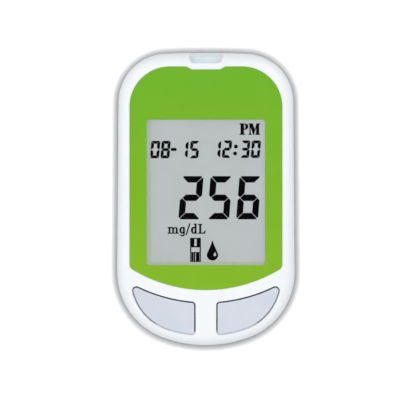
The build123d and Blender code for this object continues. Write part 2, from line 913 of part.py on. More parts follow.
def strip_connector_housing():
    """Socket on the board that the test strip slides into, with grooves for its contacts."""
    side = connector_width / 2
    body = block(
        -side, side, connector_back_y, connector_front_y, board_top, slot_roof + connector_roof
    )
    half = strip_slot_width / 2
    slot_back = connector_back_y + connector_back
    body -= block(-half, half, slot_back, connector_front_y, slot_floor, slot_roof)
    groove_half = contact_width / 2 + contact_groove_gap
    groove_top = slot_roof + contact_thickness + 2 * contact_groove_gap
    groove_front = connector_front_y - contact_front_margin + contact_groove_gap
    for x in contact_places():
        body -= block(
            x - groove_half, x + groove_half, connector_back_y, groove_front, slot_roof, groove_top
        )
    return body


def contact_places():
    """Sideways places of the strip contacts."""
    return [(i - (contact_count - 1) / 2) * contact_pitch for i in range(contact_count)]


def strip_contacts():
    """Spring contacts: an arm in the housing's roof, a nose into the slot, a tail to the board."""
    contacts = Part()
    half = contact_width / 2
    low = slot_roof + contact_groove_gap
    high = low + contact_thickness
    back = connector_back_y - contact_groove_gap - contact_thickness
    front = connector_front_y - contact_front_margin
    for x in contact_places():
        arm = block(x - half, x + half, back, front, low, high)
        tail = block(x - half, x + half, back, back + contact_thickness, board_top, high)
        nose = block(
            x - half, x + half, front - contact_nose_length, front, slot_roof - contact_nose, low
        )
        contacts += arm + tail + nose
    return contacts


# ---- battery and its contacts
def cell():
    """AAA cell standing on its flat end."""
    body = Cylinder(
        cell_diameter / 2, cell_body_length, align=(Align.CENTER, Align.CENTER, Align.MIN)
    )
    rims = body.edges().filter_by(GeomType.CIRCLE)
    body = fillet(rims, cell_edge_round)
    nub_end = cell_body_length + cell_nub_length
    return body + post(0, 0, cell_nub_diameter / 2, cell_body_length, nub_end)


def battery_left():
    """Cell with its plus end at the bridge contact."""
    start = bay_end_y + plate_thickness + spring_length
    return Pos(-cell_spacing / 2, start, cell_axis_z) * Rot(-90, 0, 0) * cell()


def battery_right():
    """Cell with its plus end at the positive contact."""
    start = bay_top_y - plate_thickness - spring_length
    return Pos(cell_spacing / 2, start, cell_axis_z) * Rot(90, 0, 0) * cell()


def end_contact(x):
    """Contact plate at the lower end of the bay, with its tail up to the board."""
    half = plate_width / 2
    low = cell_axis_z - plate_height / 2
    high = cell_axis_z + plate_height / 2
    back = bay_end_y + plate_thickness
    plate = block(x - half, x + half, bay_end_y, back, low, high)
    tail_half = tail_width / 2
    return plate + block(x - tail_half, x + tail_half, bay_end_y, back, high, board_bottom)


def bridge_contact():
    """Plate that joins both cells at the upper end of the bay."""
    side = (cell_spacing + plate_width) / 2
    low = cell_axis_z - plate_height / 2
    high = cell_axis_z + plate_height / 2
    return block(-side, side, bay_top_y - plate_thickness, bay_top_y, low, high)


def contact_spring():
    """Coil spring standing on its foot."""
    rise = spring_length - spring_wire
    path = Helix(rise / spring_turns, rise, spring_radius)
    section = Plane(origin=path @ 0, z_dir=path % 0) * Circle(spring_wire / 2)
    return Pos(0, 0, spring_wire / 2) * sweep(section, path=path, is_frenet=True)


def contact_springs():
    """The two springs that press on the flat ends of the cells."""
    lower_y = bay_end_y + plate_thickness
    upper_y = bay_top_y - plate_thickness
    lower = Pos(-cell_spacing / 2, lower_y, cell_axis_z) * Rot(-90, 0, 0) * contact_spring()
    upper = Pos(cell_spacing / 2, upper_y, cell_axis_z) * Rot(90, 0, 0) * contact_spring()
    return lower + upper


# ---- screws
def screw(seat, radius, length, head_radius, head_height, recess_length, recess_depth):
    """Pan-head screw driven upwards, its head's underside on the seat."""
    head = post(0, 0, head_radius, seat - head_height, seat)
    head = fillet(head.edges().group_by(Axis.Z)[0], screw_head_round)
    body = head + post(0, 0, radius, seat, seat + length)
    long = recess_length / 2
    narrow = cross_recess_width / 2
    bottom = seat - head_height
    cross = block(-long, long, -narrow, narrow, bottom - outside, bottom + recess_depth)
    cross += block(-narrow, narrow, -long, long, bottom - outside, bottom + recess_depth)
    return body - cross


def case_screws():
    """Four long screws through the rear case into the front case's bosses."""
    one = screw(
        case_screw_seat, case_screw_radius, case_screw_length, case_screw_head_radius,
        case_screw_head_height, cross_recess_length, cross_recess_depth
    )
    return Part() + [Pos(*place) * one for place in case_screw_places()]


def board_screws():
    """Four short screws that hold the board on the front case."""
    one = screw(
        board_bottom, board_screw_radius, board_screw_length, board_screw_head_radius,
        board_screw_head_height, board_recess_length, board_recess_depth
    )
    return Part() + [Pos(*place) * one for place in board_screw_places()]


film_side = glass_half - film_margin
film_low = glass_low + film_margin
film_high = glass_high - film_margin
rear_film_high = rear_glass_high - film_margin
nodes = {
    "front_case": front_case(),
    "face_panel": face_panel(),
    "window_lens": window_lens(),
    "display_gasket": display_gasket(),
    "lcd_front_polarizer": sheet_between(
        -film_side, film_side, film_low, film_high, front_glass_top, film_thickness
    ),
    "lcd_front_glass": sheet_between(
        -glass_half, glass_half, glass_low, glass_high, rear_glass_top, glass_thickness
    ),
    "lcd_rear_glass": sheet_between(
        -glass_half, glass_half, glass_low, rear_glass_high, rear_film_top, glass_thickness
    ),
    "lcd_rear_reflector": sheet_between(
        -film_side, film_side, film_low, rear_film_high, lcd_bottom, film_thickness
    ),
    "lcd_frame": lcd_frame(),
    "zebra_connector": zebra_connector(),
    "main_board": main_board(),
    "microcontroller": chip(
        side_part_x, controller_y, controller_size, controller_size, controller_height,
        controller_pins, True
    ),
    "analog_front_end": chip(
        front_end_x, front_end_y, front_end_width, front_end_length, front_end_height,
        front_end_pins, False
    ),
    "memory_chip": chip(
        -side_part_x, memory_y, memory_width, memory_length, memory_height, memory_pins, False
    ),
    "crystal": crystal(),
    "beeper": beeper(),
    "supply_capacitor": supply_capacitor(),
    "thermistor": thermistor(),
    "chip_capacitors": chip_row(-side_part_x),
    "chip_resistors": chip_row(side_part_x),
    "right_button": right_button(),
    "left_button": mirrored(right_button()),
    "right_dome": right_dome(),
    "left_dome": mirrored(right_dome()),
    "right_contact_pill": right_contact_pill(),
    "left_contact_pill": mirrored(right_contact_pill()),
    "keypad_mat": keypad_mat(),
    "key_pads": key_pads(),
    "strip_port_bezel": strip_port_bezel(),
    "strip_connector_housing": strip_connector_housing(),
    "strip_contacts": strip_contacts(),
    "rear_case": rear_case(),
    "battery_door": battery_door(),
    "battery_left": battery_left(),
    "battery_right": battery_right(),
    "positive_contact": end_contact(cell_spacing / 2),
    "negative_contact": end_contact(-cell_spacing / 2),
    "bridge_contact": bridge_contact(),
    "contact_springs": contact_springs(),
    "case_screws": case_screws(),
    "board_screws": board_screws(),
}

os.makedirs("parts", exist_ok=True)
for name, shape in nodes.items():
    export_step(shape, f"parts/{name}.step")
print(f"door travel {door_travel:.2f} mm, case thickness {face_plane:.2f} mm")
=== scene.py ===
from math import cos, radians, sin, sqrt, tan

import bmesh
import bpy
from mathutils import Matrix, Vector


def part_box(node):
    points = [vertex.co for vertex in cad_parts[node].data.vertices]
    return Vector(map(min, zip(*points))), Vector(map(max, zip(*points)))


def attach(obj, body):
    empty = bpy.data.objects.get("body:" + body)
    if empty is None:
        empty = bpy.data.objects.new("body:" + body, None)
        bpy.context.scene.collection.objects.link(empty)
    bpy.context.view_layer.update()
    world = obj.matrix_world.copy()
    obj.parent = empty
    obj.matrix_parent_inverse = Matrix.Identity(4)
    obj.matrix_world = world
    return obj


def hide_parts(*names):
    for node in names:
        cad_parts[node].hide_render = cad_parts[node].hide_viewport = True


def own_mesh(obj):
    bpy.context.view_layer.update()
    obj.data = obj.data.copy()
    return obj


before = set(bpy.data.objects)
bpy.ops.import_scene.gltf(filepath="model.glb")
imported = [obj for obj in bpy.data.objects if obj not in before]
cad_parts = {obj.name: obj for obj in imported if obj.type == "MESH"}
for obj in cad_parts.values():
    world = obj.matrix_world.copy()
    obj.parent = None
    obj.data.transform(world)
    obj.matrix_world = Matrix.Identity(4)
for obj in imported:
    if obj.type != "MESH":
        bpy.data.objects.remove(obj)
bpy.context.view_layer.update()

# Pocket blood glucose meter, lying on its back.  Sizes are written in millimetres.
mm = 0.001


# ---- Front and rear casing
# Two white ABS mouldings that meet in a fine bevelled line round the side, pulled together by four
# screws.  The skin is satin.  A faint cool tint of side light is painted where the wall turns down
# to the side, and a painted shade darkens the rounded upper end.
def linear(red, green, blue):
    """A colour written as screen values from 0 to 255, as the linear values a shader takes."""
    channels = []
    for value in (red, green, blue):
        share = value / 255
        low = share / 12.92
        high = ((share + 0.055) / 1.055) ** 2.4
        channels.append(low if share <= 0.04045 else high)
    return (*channels, 1.0)


def feed(tree, socket, value):
    """Links an output to a socket, or sets the socket's own value."""
    if isinstance(value, bpy.types.NodeSocket):
        tree.links.new(value, socket)
    else:
        socket.default_value = value


def place_node(tree, kind, inputs=(), **settings):
    """Adds a shader node with its settings and its inputs, named or numbered."""
    made = tree.nodes.new(kind)
    for name, value in settings.items():
        setattr(made, name, value)
    for name, value in dict(inputs).items():
        feed(tree, made.inputs[name], value)
    return made


def mix_colours(tree, factor, first, second):
    """Colour between two colours."""
    made = place_node(tree, "ShaderNodeMix", data_type="RGBA")
    feed(tree, made.inputs[0], factor)
    feed(tree, made.inputs[6], first)
    feed(tree, made.inputs[7], second)
    return made.outputs[2]


def between(tree, value, low, high, to_low=0.0, to_high=1.0, ease="SMOOTHSTEP"):
    """A value brought from one range to another and held inside it."""
    made = place_node(tree, "ShaderNodeMapRange", interpolation_type=ease)
    for name, setting in zip(range(5), (value, low, high, to_low, to_high)):
        feed(tree, made.inputs[name], setting)
    return made.outputs[0]


def compute(tree, operation, first, second=0.0):
    """One step of arithmetic."""
    made = place_node(tree, "ShaderNodeMath", {0: first, 1: second}, operation=operation)
    return made.outputs[0]


def object_axes(tree):
    """The three object coordinates."""
    place = place_node(tree, "ShaderNodeTexCoord").outputs["Object"]
    return place_node(tree, "ShaderNodeSeparateXYZ", {0: place}).outputs


def start_group(name, inputs, outputs):
    """A node group with named inputs and outputs."""
    group = bpy.data.node_groups.new(name, "ShaderNodeTree")
    for label, kind, value in inputs:
        socket = group.interface.new_socket(label, in_out="INPUT", socket_type=kind)
        socket.default_value = value
    for label, kind in outputs:
        group.interface.new_socket(label, in_out="OUTPUT", socket_type=kind)
    given = group.nodes.new("NodeGroupInput")
    result = group.nodes.new("NodeGroupOutput")
    return group, given.outputs, result.inputs


white = (1.0, 1.0, 1.0, 1.0)
moulding, given, result = start_group(
    "moulded skin",
    (
        ("Colour", "NodeSocketColor", white),
        ("Drift Colour", "NodeSocketColor", white),
        ("Drift Scale", "NodeSocketFloat", 60.0),
        ("Grain Scale", "NodeSocketFloat", 3000.0),
        ("Smooth", "NodeSocketFloat", 0.3),
        ("Rough", "NodeSocketFloat", 0.4),
    ),
    (
        ("Colour", "NodeSocketColor"),
        ("Roughness", "NodeSocketFloat"),
        ("Height", "NodeSocketFloat"),
    ),
)
place = place_node(moulding, "ShaderNodeTexCoord").outputs["Object"]
drift = place_node(
    moulding, "ShaderNodeTexNoise", {"Vector": place, "Scale": given["Drift Scale"], "Detail": 3.0}
).outputs["Fac"]
grain = place_node(
    moulding, "ShaderNodeTexNoise", {"Vector": place, "Scale": given["Grain Scale"], "Detail": 2.0}
).outputs["Fac"]
drift = between(moulding, drift, 0.35, 0.65)
drifted = mix_colours(moulding, drift, given["Colour"], given["Drift Colour"])
feed(moulding, result["Colour"], drifted)
patches = compute(moulding, "MULTIPLY", drift, 0.5)
handled = compute(moulding, "ADD", compute(moulding, "MULTIPLY", grain, 0.5), patches)
dulled = between(moulding, handled, 0.2, 0.8, given["Smooth"], given["Rough"])
feed(moulding, result["Roughness"], dulled)
feed(moulding, result["Height"], grain)


def start_material(name, **constants):
    """A material with its shader, and plain values on the shader's own sockets."""
    material = bpy.data.materials.new(name)
    material.use_nodes = True
    tree = material.node_tree
    shader = tree.nodes["Principled BSDF"]
    for label, value in constants.items():
        shader.inputs[label.replace("_", " ")].default_value = value
    return material, tree, shader.inputs


def skin(tree, surface, colour, drift_colour, drift_scale, grain_scale, smooth, rough, relief):
    """Feeds a shader with a moulded skin; returns its colour for further work.

    The scales count waves in a metre; smooth and rough are the ends of its roughness.
    """
    made = place_node(tree, "ShaderNodeGroup", node_tree=moulding)
    for label, value in (
        ("Colour", colour), ("Drift Colour", drift_colour), ("Drift Scale", drift_scale),
        ("Grain Scale", grain_scale), ("Smooth", smooth), ("Rough", rough),
    ):
        feed(tree, made.inputs[label], value)
    feed(tree, surface["Base Color"], made.outputs["Colour"])
    feed(tree, surface["Roughness"], made.outputs["Roughness"])
    bump = place_node(
        tree, "ShaderNodeBump",
        {"Height": made.outputs["Height"], "Strength": relief, "Distance": 0.02 * mm},
    )
    feed(tree, surface["Normal"], bump.outputs["Normal"])
    return made.outputs["Colour"]


def dress(material, *names):
    """Gives CAD nodes a material."""
    for name in names:
        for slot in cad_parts[name].material_slots:
            slot.material = material


casing_white = linear(247, 249, 250)
casing_drift = linear(244, 247, 250)
casing_painted_flank_tint = linear(248, 250, 254)
casing_painted_end_shade = linear(232, 235, 241)
casing, tree, surface = start_material(
    "white casing", IOR=1.53, Coat_Weight=0.15, Coat_Roughness=0.25
)
tone = skin(tree, surface, casing_white, casing_drift, 70.0, 2600.0, 0.34, 0.46, 0.12)
# Painted light: a faint cool tint of side light, painted by the normal where the wall turns down to
# the side.
turned = place_node(tree, "ShaderNodeTexCoord").outputs["Normal"]
upward = place_node(tree, "ShaderNodeSeparateXYZ", {0: turned}).outputs["Z"]
flank = between(tree, upward, 0.98, 0.25)
tone = mix_colours(tree, flank, tone, casing_painted_flank_tint)
# Painted shade: a darker, cooler tone painted over the rounded upper end, at half strength at most.
upper_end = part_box("front_case")[1].y
painted_end_shade_start = upper_end - 4.5 * mm
painted_end_shade_full = upper_end - 2 * mm
axes = object_axes(tree)
painted_end_shade = between(tree, axes["Y"], painted_end_shade_start, painted_end_shade_full, 0.0, 0.5)
feed(tree, surface["Base Color"], mix_colours(tree, painted_end_shade, tone, casing_painted_end_shade))
dress(casing, "front_case", "rear_case")


# ---- Battery door
# A separate white moulding that slides off towards the user.  Its tongues run in grooves of the
# rear casing, and six shallow grooves give the thumb a hold.
door_white = linear(244, 246, 248)
door_drift = linear(240, 243, 247)
door_skin, tree, surface = start_material("battery door plastic", IOR=1.53, Coat_Weight=0.1)
skin(tree, surface, door_white, door_drift, 55.0, 2300.0, 0.38, 0.52, 0.2)
dress(door_skin, "battery_door")


# ---- Face panel
# A green polycarbonate sheet let into the casing.  The colour is screen printed behind a satin
# lacquer and grows a little yellower towards the keys.
panel_high = linear(112, 177, 38)
panel_middle = linear(121, 179, 34)
panel_low = linear(131, 182, 36)
panel_low_y, panel_high_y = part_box("face_panel")[0].y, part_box("face_panel")[1].y
green_print, tree, surface = start_material(
    "green printed panel", IOR=1.5, Specular_IOR_Level=0.25
)
up_the_panel = between(tree, object_axes(tree)["Y"], panel_low_y, panel_high_y, ease="LINEAR")
lower_half = mix_colours(tree, between(tree, up_the_panel, 0.0, 0.5), panel_low, panel_middle)
print_colour = mix_colours(tree, between(tree, up_the_panel, 0.5, 1.0), lower_half, panel_high)
print_drift = mix_colours(tree, 0.06, print_colour, linear(90, 160, 16))
skin(tree, surface, print_colour, print_drift, 150.0, 3500.0, 0.36, 0.44, 0.08)
dress(green_print, "face_panel")


# ---- Window lens
# A clear acrylic plate, held from behind by the panel's margins.  Polished, with the faint haze of
# fine handling marks.
lens, tree, surface = start_material("clear lens", IOR=1.49)
skin(tree, surface, linear(66, 72, 70), linear(58, 64, 62), 40.0, 900.0, 0.04, 0.09, 0.02)
mirrored = place_node(tree, "ShaderNodeFresnel", {"IOR": 1.49}).outputs[0]
feed(tree, surface["Alpha"], between(tree, mirrored, 0.04, 0.6, 0.01, 0.5, "LINEAR"))
dress(lens, "window_lens")


# ---- Display gasket
# A die-cut strip of pale closed-cell foam between the display and the window ledge.  It keeps dust
# out and shows as a narrow border at the left and lower edges.
foam, tree, surface = start_material("foam gasket", IOR=1.4)
cells = place_node(
    tree, "ShaderNodeTexVoronoi",
    {"Vector": place_node(tree, "ShaderNodeTexCoord").outputs["Object"], "Scale": 4200.0},
).outputs["Distance"]
pores = between(tree, cells, 0.1, 0.6)
foam_colour = mix_colours(tree, pores, linear(170, 177, 165), linear(189, 196, 184))
feed(tree, surface["Base Color"], foam_colour)
feed(tree, surface["Roughness"], between(tree, cells, 0.0, 0.7, 0.9, 0.75))
bump = place_node(
    tree, "ShaderNodeBump", {"Height": pores, "Strength": 0.35, "Distance": 0.03 * mm}
)
feed(tree, surface["Normal"], bump.outputs["Normal"])
dress(foam, "display_gasket")


# ---- Liquid crystal display
# Two thin glass plates with a polarizing film on the front and a silvered film on the back.  The
# front film is matt grey-green.  The stack lies in a tray and meets the board by a striped strip.
film_grey = linear(196, 203, 202)
film_drift = linear(193, 200, 199)
display_film, tree, surface = start_material("polarizing film", IOR=1.45)
skin(tree, surface, film_grey, film_drift, 90.0, 6000.0, 0.38, 0.46, 0.1)
dress(display_film, "lcd_front_polarizer", "lcd_rear_reflector")

plate_glass, tree, surface = start_material("display glass", IOR=1.52, Alpha=0.35)
skin(tree, surface, linear(206, 222, 216), linear(196, 216, 208), 45.0, 1500.0, 0.03, 0.08, 0.02)
dress(plate_glass, "lcd_front_glass", "lcd_rear_glass")

tray, tree, surface = start_material("display tray plastic", IOR=1.5)
skin(tree, surface, linear(44, 45, 48), linear(38, 39, 42), 80.0, 2200.0, 0.5, 0.65, 0.3)
dress(tray, "lcd_frame")

layer_pitch = 0.18 * mm
zebra, tree, surface = start_material("striped elastomer", IOR=1.42)
along = compute(tree, "DIVIDE", object_axes(tree)["X"], layer_pitch)
layers = between(tree, compute(tree, "FRACT", along), 0.44, 0.56)
striped = mix_colours(tree, layers, linear(32, 32, 34), linear(176, 182, 188))
feed(tree, surface["Base Color"], striped)
feed(tree, surface["Roughness"], between(tree, layers, 0.0, 1.0, 0.75, 0.5))
dress(zebra, "zebra_connector")


# ---- Lit segments of the display
# The liquid crystal turns dark between the glass plates where a segment is driven.  Each figure is
# seven mitred bars with hairline gaps, leaning to the right; unlit bars are left out.
ink_height = 0.02 * mm
cutting_tolerance = 0.001 * mm
film_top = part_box("lcd_front_polarizer")[1].z
ink, tree, surface = start_material("driven segments", IOR=1.45, Specular_IOR_Level=0.0)
skin(tree, surface, linear(5, 4, 6), linear(11, 9, 12), 400.0, 6000.0, 0.4, 0.5, 0.05)

bar_tip = 0.35
bars_of = {
    "0": "abcdef", "1": "bc", "2": "abged", "3": "abgcd",
    "5": "afgcd", "6": "afgecd", "8": "abcdefg",
}


def bar(name, left, right, low, high, cuts):
    """Flat bar with corners cut off; cuts are (x side, y side, length on x, length on y)."""
    bpy.ops.object.select_all(action="DESELECT")
    bpy.ops.mesh.primitive_plane_add(size=1.0)
    piece = bpy.context.object
    piece.name = name
    piece.location = ((left + right) / 2, (low + high) / 2, 0)
    piece.scale = (right - left, high - low, 1)
    bpy.ops.object.transform_apply(location=True, rotation=True, scale=True)
    bpy.ops.object.mode_set(mode="EDIT")
    mesh = bmesh.from_edit_mesh(piece.data)
    for side_x, side_y, across, up in cuts:
        corner_x = right if side_x > 0 else left
        corner_y = high if side_y > 0 else low
        bmesh.ops.bisect_plane(
            mesh, geom=[*mesh.verts, *mesh.edges, *mesh.faces], dist=cutting_tolerance,
            plane_co=(corner_x - side_x * across, corner_y, 0),
            plane_no=Vector((side_x * up, side_y * across, 0)).normalized(), clear_outer=True,
        )
    bmesh.update_edit_mesh(piece.data)
    bpy.ops.object.mode_set(mode="OBJECT")
    return piece


def seven_bars(width, height, stroke, gap, corner, waist):
    """The seven bars of one figure, with its lower left corner at the origin.

    The gap is left between neighbours, corner is cut off the figure's outer corners, and waist
    is the space between the upright bars at half height.
    """
    middle = height / 2
    outer = bar_tip * stroke
    inner = stroke - outer
    steep = (1 + sqrt(2)) * corner
    made = {}
    for name, low, up in (("a", height - stroke, 1), ("d", 0, -1)):
        cuts = [(side, -up, stroke, stroke) for side in (-1, 1)]
        cuts += [(side, up, corner, steep) for side in (-1, 1)]
        made[name] = bar(name, 0, width, low, low + stroke, cuts)
    cuts = [(side, up, stroke / 2, stroke / 2) for side in (-1, 1) for up in (-1, 1)]
    low = middle - stroke / 2
    made["g"] = bar("g", outer, width - outer, low, low + stroke, cuts)
    for name, side, up in (("b", 1, 1), ("c", 1, -1), ("e", -1, -1), ("f", -1, 1)):
        left = width - stroke if side > 0 else 0
        low = middle + waist / 2 if up > 0 else 0
        cuts = (
            (-side, up, stroke, stroke), (side, up, steep, corner),
            (side, -up, outer, outer), (-side, -up, inner, inner),
        )
        made[name] = bar(name, left, left + stroke, low, low + middle - waist / 2, cuts)
    for piece in made.values():
        bpy.ops.object.select_all(action="DESELECT")
        bpy.context.view_layer.objects.active = piece
        piece.select_set(True)
        bpy.ops.object.mode_set(mode="EDIT")
        bpy.ops.mesh.select_mode(type="FACE")
        bpy.ops.mesh.select_all(action="SELECT")
        bpy.ops.mesh.inset(thickness=gap / 2, depth=0.0)
        bpy.ops.mesh.select_all(action="INVERT")
        bpy.ops.mesh.delete(type="FACE")
        bpy.ops.mesh.select_all(action="SELECT")
        bpy.ops.mesh.extrude_region_move(TRANSFORM_OT_translate={"value": (0, 0, ink_height)})
        bpy.ops.mesh.select_all(action="SELECT")
        bpy.ops.mesh.normals_make_consistent(inside=False)
        bpy.ops.object.mode_set(mode="OBJECT")
    return made


def join(name, pieces):
    """Joins pieces into one."""
    bpy.ops.object.select_all(action="DESELECT")
    for piece in pieces:
        piece.select_set(True)
    bpy.context.view_layer.objects.active = pieces[0]
    if len(pieces) > 1:
        bpy.ops.object.join()
    pieces[0].name = name
    pieces[0].data.name = name
    return pieces[0]


def figures(name, bars, entries, low, lean):
    """A row of figures copied from one set of bars; entries are (figure, left edge)."""
    copies = []
    slant = Matrix.Identity(4)
    slant[0][1] = tan(lean)
    for figure, left in entries:
        for letter in bars_of[figure]:
            copy = bars[letter].copy()
            copy.data = bars[letter].data.copy()
            bpy.context.scene.collection.objects.link(copy)
            copy.data.transform(Matrix.Translation((left, low, film_top)) @ slant)
            copies.append(copy)
    row = join(name, copies)
    finish_mark(row)
    return row


def finish_mark(piece):
    """Gives a display mark its material, body and slot."""
    piece.data.materials.clear()
    piece.data.materials.append(ink)
    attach(piece, "case")


large_bars = seven_bars(6.97 * mm, 13.6 * mm, 2.14 * mm, 0.14 * mm, 0.66 * mm, 0.0)
figures(
    "reading_figures", large_bars,
    (("2", -8.67 * mm), ("5", 0.31 * mm), ("6", 9.31 * mm)),
    -6.42 * mm, radians(4.5),
)
small_bars = seven_bars(2.86 * mm, 5.5 * mm, 0.97 * mm, 0.05 * mm, 0.34 * mm, 0.02 * mm)
figures(
    "date_figures", small_bars,
    (("0", -17.45 * mm), ("8", -14.22 * mm), ("1", -8.58 * mm), ("5", -5.22 * mm)),
    12.62 * mm, radians(4.7),
)
figures(
    "time_figures", small_bars,
    (("1", 1.55 * mm), ("2", 4.9 * mm), ("3", 10.57 * mm), ("0", 13.88 * mm)),
    12.75 * mm, radians(4.8),
)
for template in (*large_bars.values(), *small_bars.values()):
    bpy.data.objects.remove(template)


# ---- Fixed marks of the display
# Letters and pictures that the display switches as one shape: the date's dash, the time's colon,
# the half of the day, the unit of the reading, and the strip and drop that ask for a sample.
def round_part(x, y, across, up, start, end, steps=14):
    """Points along an elliptic arc; angles in degrees."""
    points = []
    for step in range(steps + 1):
        angle = radians(start + (end - start) * step / steps)
        points.append((x + across * cos(angle), y + up * sin(angle)))
    return points


def box_part(left, right, low, high):
    """Corners of a rectangle."""
    return [(left, low), (right, low), (right, high), (left, high)]


def flat_mark(name, shapes, swell=0.05 * mm):
    """A display mark from closed outlines; an outline inside another is a hole.

    Each shape is (outlines, x, y, scale), in millimetres; the swell thickens its strokes.
    """
    curve = bpy.data.curves.new(name, "CURVE")
    curve.dimensions = "2D"
    curve.fill_mode = "BOTH"
    curve.extrude = ink_height / 2
    curve.bevel_depth = swell
    curve.bevel_resolution = 0
    for outlines, x, y, scale in shapes:
        for outline in outlines:
            spline = curve.splines.new("POLY")
            spline.points.add(len(outline) - 1)
            for point, (across, up) in zip(spline.points, outline):
                point.co = ((x + across * scale) * mm, (y + up * scale) * mm, 0, 1)
            spline.use_cyclic_u = True
    piece = bpy.data.objects.new(name, curve)
    bpy.context.scene.collection.objects.link(piece)
    bpy.ops.object.select_all(action="DESELECT")
    piece.select_set(True)
    bpy.context.view_layer.objects.active = piece
    bpy.ops.object.convert(target="MESH")
    piece = bpy.context.object
    piece.data.transform(Matrix.Translation((0, 0, film_top + ink_height / 2 + swell)))
    finish_mark(piece)
    return piece


dash = [round_part(-0.48, 0, 0.42, 0.42, 90, 270) + round_part(0.48, 0, 0.42, 0.42, -90, 90)]
flat_mark("date_dash", ((dash, -10.03, 15.42, 1.0),))
dot = [round_part(0, 0, 0.56, 0.56, 0, 345, 23)]
flat_mark("time_colon", ((dot, 9.32, 16.32, 1.0), (dot, 9.08, 14.16, 1.0)))

# The letters are drawn in shares of a capital's height.
letter_p = [
    [(0, 0), (0.48, 0), (0.48, 0.05), (0.37, 0.08), (0.37, 0.45)]
    + round_part(0.45, 0.73, 0.32, 0.27, -90, 90)
    + [(0, 1), (0, 0.95), (0.1, 0.92), (0.1, 0.08), (0, 0.05)],
    [(0.38, 0.51)] + round_part(0.42, 0.73, 0.12, 0.22, -90, 90) + [(0.38, 0.94)],
]
letter_m_large = [
    [
        (0, 0), (0.27, 0), (0.27, 0.05), (0.17, 0.08), (0.17, 0.76), (0.42, 0), (0.47, 0),
        (0.69, 0.72), (0.69, 0.08), (0.6, 0.05), (0.6, 0), (1.02, 0), (1.02, 0.05),
        (0.93, 0.08), (0.93, 0.92), (1.02, 0.95), (1.02, 1), (0.73, 1), (0.56, 0.42),
        (0.36, 1), (0, 1), (0, 0.95), (0.09, 0.92), (0.09, 0.08), (0, 0.05),
    ]
]
capitals = ((letter_p, 10.5, 20.02, 3.44), (letter_m_large, 13.3, 20.02, 3.44))
flat_mark("afternoon_letters", capitals, 0.06 * mm)

foot = 0.04
letter_m = [
    [(0, 0), (0.34, 0), (0.34, foot), (0.24, 0.07), (0.24, 0.46)]
    + round_part(0.37, 0.46, 0.13, 0.14, 180, 0)
    + [(0.5, 0.07), (0.41, foot), (0.41, 0), (0.73, 0), (0.73, foot), (0.63, 0.07), (0.63, 0.46)]
    + round_part(0.76, 0.46, 0.13, 0.14, 180, 0)
    + [(0.89, 0.07), (0.8, foot), (0.8, 0), (1.14, 0), (1.14, foot), (1.03, 0.07)]
    + round_part(0.82, 0.47, 0.21, 0.2, 0, 135)
    + round_part(0.42, 0.47, 0.22, 0.2, 45, 142)
    + [(0.24, 0.68), (0, 0.65), (0, 0.61), (0.11, 0.58), (0.11, 0.07), (0, foot)]
]
letter_g = [
    [(0.54, 0.67), (0.54, -0.1)]
    + round_part(0.29, -0.1, 0.25, 0.19, 0, -160)
    + round_part(0.29, -0.1, 0.15, 0.12, -150, 0)
    + [(0.42, 0.05)]
    + round_part(0.27, 0.34, 0.26, 0.34, -58, -302, 24)
    + [(0.42, 0.67)],
    round_part(0.29, 0.34, 0.12, 0.27, 0, 345, 23),
]
stroke_mark = [[(0, -0.12), (0.08, -0.12), (0.44, 1.05), (0.36, 1.05)]]
letter_d = [
    [(0.42, 0.0), (0.64, 0.0), (0.64, foot), (0.55, 0.07), (0.55, 1.05), (0.3, 1.02), (0.3, 0.98)]
    + [(0.42, 0.95), (0.42, 0.63)]
    + round_part(0.27, 0.34, 0.26, 0.35, 56, 304, 24)
    + [(0.42, 0.05)],
    round_part(0.29, 0.34, 0.12, 0.28, 0, 345, 23),
]
letter_l_large = [
    [
        (0, 0), (0.7, 0), (0.76, 0.28), (0.7, 0.28), (0.6, 0.06), (0.28, 0.06), (0.28, 0.93),
        (0.4, 0.96), (0.4, 1), (0, 1), (0, 0.96), (0.13, 0.93), (0.13, 0.07), (0, foot),
    ]
]
unit_size = 2.88
unit_letters = (
    (letter_m, -11.84), (letter_g, -8.2), (stroke_mark, -6.2), (letter_d, -4.6),
    (letter_l_large, -2.36),
)
flat_mark("unit_letters", [(shape, x, -10.72, unit_size) for shape, x in unit_letters], 0.09 * mm)

strip_sign = [
    box_part(-4.89, -1.6, -19.58, -12.13),
    box_part(-3.63, -2.85, -14.69, -12.42),
    box_part(-4.59, -1.93, -16.54, -15.04),
]
for left, right in ((-4.73, -4.57), (-3.94, -3.79), (-3.34, -3.09), (-1.99, -1.83)):
    strip_sign.append(box_part(left, right, -19.43, -16.68))
flat_mark("strip_sign", ((strip_sign, 0, 0, 1.0),), 0.03 * mm)


def drop_outline(width, height):
    """Falling drop: a round belly under two slightly hollow flanks."""
    belly = width / 2
    tip = height - belly
    left_flank = []
    for step in range(1, 8):
        share = step / 8
        left_flank.append((-belly * share ** 1.15, tip * (1 - share) + 0.12 * share))
    right_flank = [(-x, y) for x, y in reversed(left_flank)]
    underside = round_part(0, 0, belly, belly, 180, 360)
    return [(0, tip)] + left_flank + underside + right_flank


drop_sign = [drop_outline(3.5, 6.15)]
gleam = [(x + 0.74, y - 0.02) for x, y in drop_outline(0.96, 1.55)]
drop_sign.append(gleam)
flat_mark("drop_sign", ((drop_sign, 2.05, -17.36, 1.0),))
